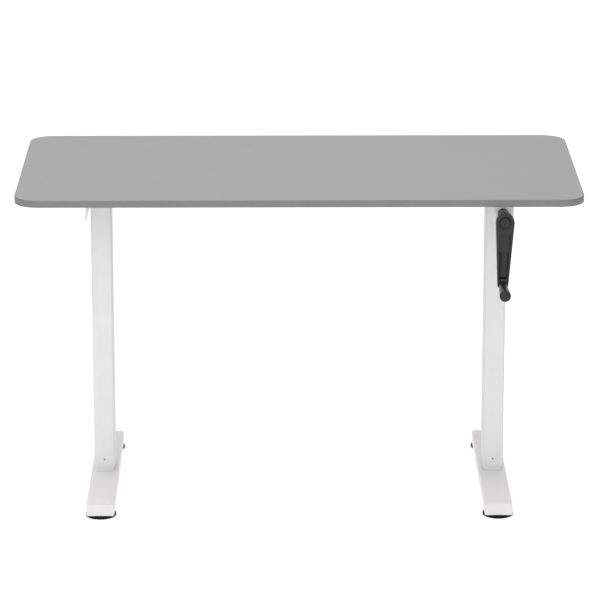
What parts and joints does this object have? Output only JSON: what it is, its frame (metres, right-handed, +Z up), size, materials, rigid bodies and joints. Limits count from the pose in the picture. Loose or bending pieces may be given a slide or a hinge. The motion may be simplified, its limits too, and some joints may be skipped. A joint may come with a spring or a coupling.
{
  "type": "height adjustable desk",
  "caption": "Rectangular desk on two T-shaped telescopic legs, raised and lowered by a folding hand crank under its front edge.",
  "frame": {"origin": "on the floor, under the middle of the outer box of the lowered desk, crank grip included", "axes": "+X to the user's right along the desktop's length, +Y away from the user, +Z up"},
  "size_m": [1.2, 0.7064, 0.72],
  "materials": {
    "laminate": "matt grey laminate on particle board",
    "powder_coat": "fine satin white powder coat",
    "white_plastic": "satin moulded plastic",
    "zinc_steel": "bright zinc plate",
    "gear_steel": "oiled machined steel",
    "cast_aluminium": "die-cast, lightly blasted",
    "bronze": "machined bronze",
    "grey_acetal": "satin acetal",
    "black_plastic": "satin moulded nylon, fine grain"
  },
  "bodies": {
    "base": {"foot_beam_left": "powder_coat", "foot_beam_right": "powder_coat", "foot_end_caps": "white_plastic", "foot_bolts": "zinc_steel", "column_base_plates": "zinc_steel", "inner_tube_left": "powder_coat", "inner_tube_right": "powder_coat", "nut_plates": "zinc_steel", "drive_nuts": "bronze", "drive_nut_screws": "zinc_steel", "top_sliders": "grey_acetal", "glide_nuts": "zinc_steel"},
    "glide_front_left": {"glide_front_left": "black_plastic"},
    "glide_front_right": {"glide_front_right": "black_plastic"},
    "glide_rear_left": {"glide_rear_left": "black_plastic"},
    "glide_rear_right": {"glide_rear_right": "black_plastic"},
    "lift_frame": {"desktop_panel": "laminate", "desktop_screws": "zinc_steel", "support_arm_left": "powder_coat", "support_arm_right": "powder_coat", "crank_hanger_plate": "powder_coat", "beam_brackets": "powder_coat", "crossbeam_channel": "powder_coat", "crossbeam_end_plates": "powder_coat", "crossbeam_bolts": "zinc_steel", "crossbeam_nuts": "zinc_steel", "outer_tube_left": "powder_coat", "outer_tube_right": "powder_coat", "column_top_plates": "zinc_steel", "gearbox_housing_left": "cast_aluminium", "gearbox_housing_right": "cast_aluminium", "gearbox_cover_left": "cast_aluminium", "gearbox_cover_right": "cast_aluminium", "gearbox_screws": "zinc_steel", "cross_shaft_bushes": "bronze", "input_shaft_bush": "bronze", "thrust_bearing_left": "gear_steel", "thrust_bearing_right": "gear_steel", "lower_bushes": "grey_acetal", "bush_screws": "powder_coat", "crank_bearing_bush": "black_plastic"},
    "cross_shaft": {"cross_shaft": "zinc_steel", "cross_pinion_left": "gear_steel", "cross_pinion_right": "gear_steel", "cross_shaft_collars": "zinc_steel"},
    "screw_left": {"lead_screw_left": "gear_steel", "crown_gear_left": "gear_steel"},
    "screw_right": {"lead_screw_right": "gear_steel", "crown_gear_right": "gear_steel"},
    "crank": {"crank_input_shaft": "zinc_steel", "crank_pinion": "gear_steel", "crank_shaft_collar": "zinc_steel", "crank_arm": "black_plastic", "crank_hub_cap": "black_plastic", "crank_hub_screw": "zinc_steel", "grip_fold_pin": "zinc_steel"},
    "grip_fold": {"grip_knuckle": "black_plastic", "grip_spindle": "zinc_steel"},
    "grip": {"grip_sleeve": "black_plastic", "grip_end_cap": "black_plastic"}
  },
  "joints": [
    {"name": "lift", "type": "slide", "parent": "base", "child": "lift_frame", "axis": [0, 0, 1], "range_m": [0, 0.45]},
    {"name": "crank_turn", "type": "hinge", "parent": "lift_frame", "child": "crank", "pos_m": [0.43, 0.05325, 0.676], "axis": [0, 1, 0], "range_deg": [0, 20250.01]},
    {"name": "cross_shaft_turn", "type": "hinge", "parent": "lift_frame", "child": "cross_shaft", "pos_m": [0, 0.05325, 0.676], "axis": [1, 0, 0], "range_deg": [0, 20250.01]},
    {"name": "screw_left_turn", "type": "hinge", "parent": "lift_frame", "child": "screw_left", "pos_m": [-0.43, 0.05325, 0.4], "axis": [0, 0, -1], "range_deg": [0, 13500.01]},
    {"name": "screw_right_turn", "type": "hinge", "parent": "lift_frame", "child": "screw_right", "pos_m": [0.43, 0.05325, 0.4], "axis": [0, 0, -1], "range_deg": [0, 13500.01]},
    {"name": "grip_fold", "type": "hinge", "parent": "crank", "child": "grip_fold", "pos_m": [0.42714, -0.26275, 0.55003], "axis": [-0.9997, 0, 0.0227], "range_deg": [0, 90]},
    {"name": "grip_spin", "type": "hinge", "parent": "grip_fold", "child": "grip", "pos_m": [0.4269, -0.31175, 0.53953], "axis": [0, 1, 0], "continuous": true},
    {"name": "glide_front_left_level", "type": "slide", "parent": "base", "child": "glide_front_left", "axis": [0, 0, -1], "range_m": [0, 0.01]},
    {"name": "glide_front_right_level", "type": "slide", "parent": "base", "child": "glide_front_right", "axis": [0, 0, -1], "range_m": [0, 0.01]},
    {"name": "glide_rear_left_level", "type": "slide", "parent": "base", "child": "glide_rear_left", "axis": [0, 0, -1], "range_m": [0, 0.01]},
    {"name": "glide_rear_right_level", "type": "slide", "parent": "base", "child": "glide_rear_right", "axis": [0, 0, -1], "range_m": [0, 0.01]}
  ],
  "couplings": [
    {"joint": "crank_turn", "follows": "lift", "rad_per_m": 785.4},
    {"joint": "cross_shaft_turn", "follows": "lift", "rad_per_m": 785.4},
    {"joint": "screw_left_turn", "follows": "lift", "rad_per_m": 523.6},
    {"joint": "screw_right_turn", "follows": "lift", "rad_per_m": 523.6}
  ]
}
